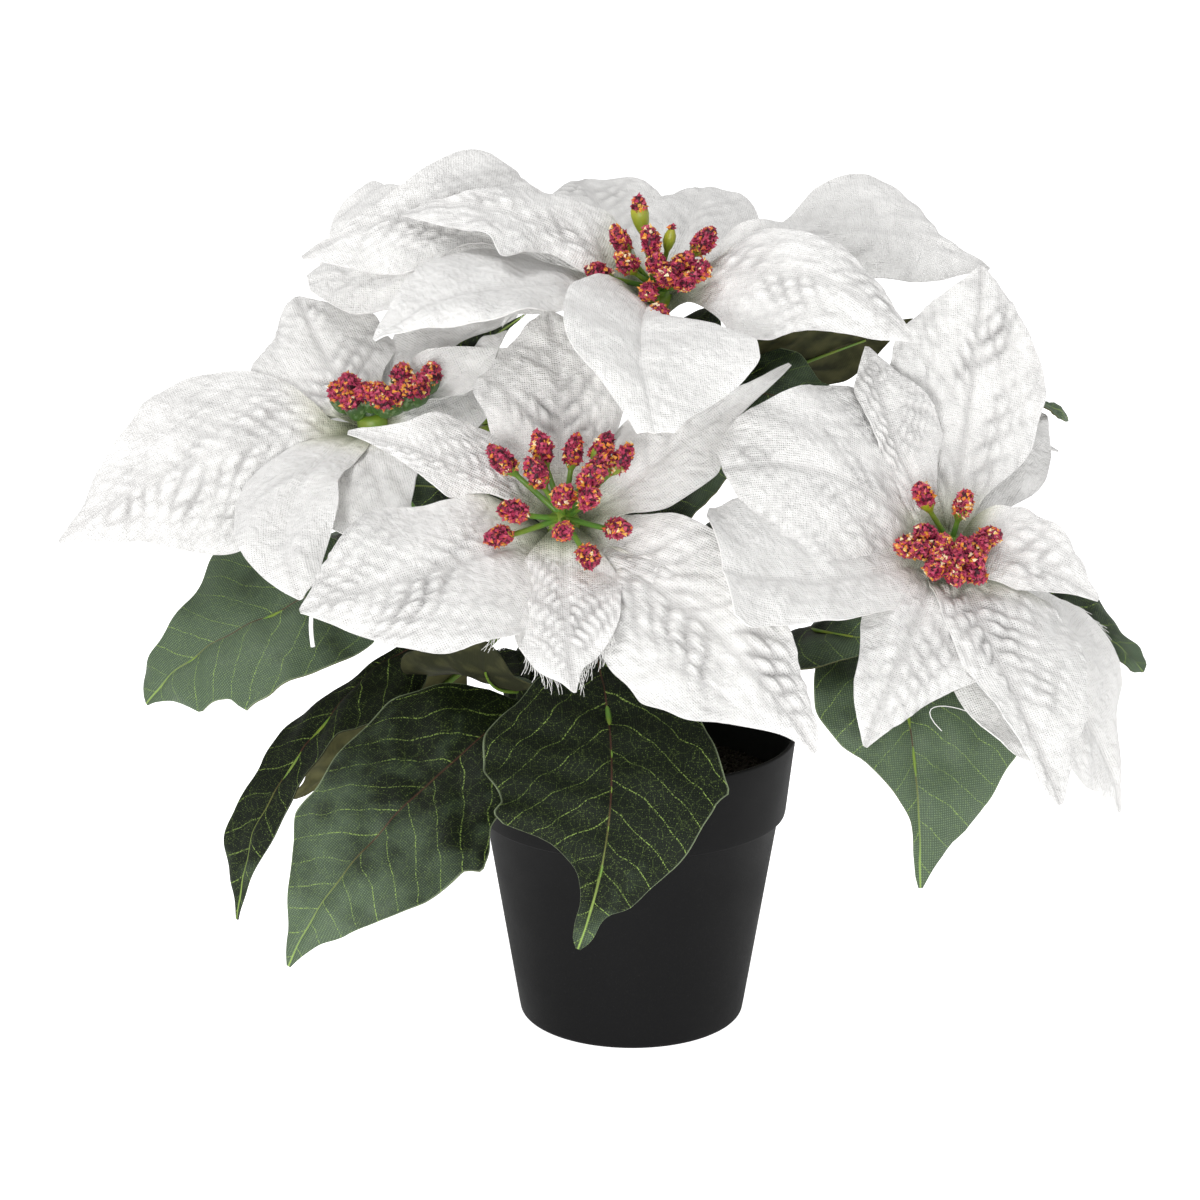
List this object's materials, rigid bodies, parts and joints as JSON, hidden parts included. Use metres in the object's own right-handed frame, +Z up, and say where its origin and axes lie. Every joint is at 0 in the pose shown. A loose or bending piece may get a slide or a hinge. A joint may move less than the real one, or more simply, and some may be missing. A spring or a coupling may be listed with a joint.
{
  "type": "artificial poinsettia in a pot",
  "caption": "Artificial poinsettia: white cloth blooms with crumb coated centres and green cloth leaves on stems, set in a weighted plug in a plain black pot.",
  "frame": {"origin": "centre of the pot's flat underside, on the surface it stands on", "axes": "+Z up, +X to the right along the plant's widest spread, -Y towards the viewer of the picture"},
  "size_m": [0.3844, 0.3138, 0.3165],
  "materials": {
    "pot_plastic": "matt black, fine moulded grain",
    "plug": "rough dark cast plug",
    "leaf_cloth": "green printed cloth with pale veins, on a green plastic stem",
    "bract_cloth": "white embossed cloth",
    "crumb_heads": "crimson and orange crumbs on green plastic cups and stalks"
  },
  "bodies": {
    "root": {"pot": "pot_plastic", "filler": "plug", "stem_a": "leaf_cloth", "stem_b": "leaf_cloth", "stem_c": "leaf_cloth", "stem_d": "leaf_cloth", "stem_e": "leaf_cloth", "stem_f": "leaf_cloth", "bracts_a": "bract_cloth", "bracts_b": "bract_cloth", "bracts_c": "bract_cloth", "bracts_d": "bract_cloth", "bracts_e": "bract_cloth", "bracts_f": "bract_cloth", "cyathia_a": "crumb_heads", "cyathia_b": "crumb_heads", "cyathia_c": "crumb_heads", "cyathia_d": "crumb_heads", "cyathia_e": "crumb_heads", "cyathia_f": "crumb_heads"}
  },
  "joints": []
}
